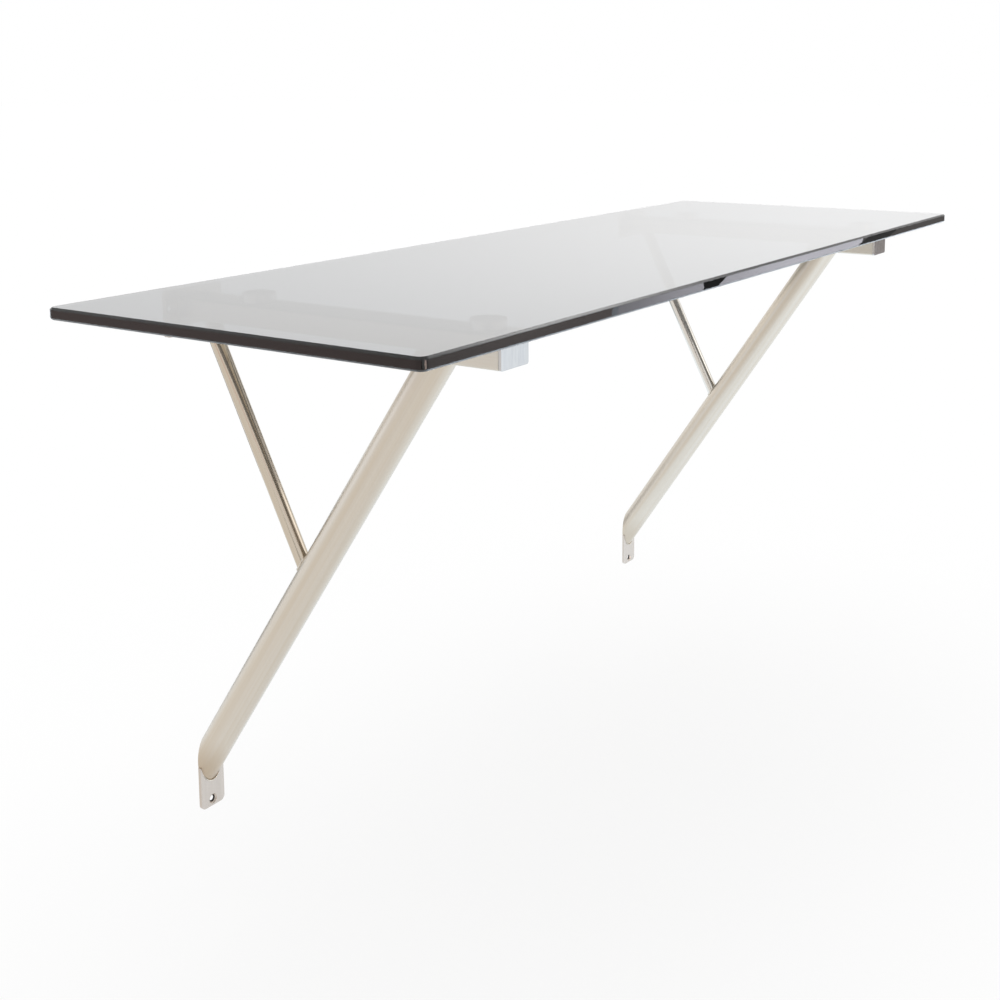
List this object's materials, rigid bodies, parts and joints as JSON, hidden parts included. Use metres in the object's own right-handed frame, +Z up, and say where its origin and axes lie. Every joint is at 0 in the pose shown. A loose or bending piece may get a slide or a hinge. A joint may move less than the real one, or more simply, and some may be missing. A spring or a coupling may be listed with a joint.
{
  "type": "wall-mounted desk",
  "caption": "Shallow wall-mounted desk with a smoked glass top on Y-shaped nickel-plated steel brackets: a rail under the glass, a leaning tube to the wall and a thin rod between them.",
  "frame": {"origin": "on the wall plane, midway between the screws of the two feet", "axes": "+X to the right seen from the front, +Y into the wall, +Z up"},
  "size_m": [1.3, 0.4415, 0.58],
  "materials": {
    "smoked_glass": "polished smoked float glass with a ground arris",
    "nickel_plated_steel": "satin nickel plate, polished along the bar",
    "plated_weld": "dressed weld bead under satin nickel plate",
    "polished_puck": "turned and polished",
    "clear_adhesive": "clear cured adhesive film",
    "zinc_screw": "bright zinc plate"
  },
  "bodies": {
    "root": {"glass_top": "smoked_glass", "left_rail": "nickel_plated_steel", "left_end_cap": "nickel_plated_steel", "left_wall_plate": "nickel_plated_steel", "left_tube": "nickel_plated_steel", "left_rod": "nickel_plated_steel", "left_foot_plate": "nickel_plated_steel", "left_tube_weld": "plated_weld", "left_foot_weld": "plated_weld", "left_rod_weld": "plated_weld", "left_rod_top_weld": "plated_weld", "left_rail_weld": "plated_weld", "left_front_puck": "polished_puck", "left_rear_puck": "polished_puck", "right_rail": "nickel_plated_steel", "right_end_cap": "nickel_plated_steel", "right_wall_plate": "nickel_plated_steel", "right_tube": "nickel_plated_steel", "right_rod": "nickel_plated_steel", "right_foot_plate": "nickel_plated_steel", "right_tube_weld": "plated_weld", "right_foot_weld": "plated_weld", "right_rod_weld": "plated_weld", "right_rod_top_weld": "plated_weld", "right_rail_weld": "plated_weld", "right_front_puck": "polished_puck", "right_rear_puck": "polished_puck", "glass_bonds": "clear_adhesive", "puck_screws": "zinc_screw"}
  },
  "joints": []
}
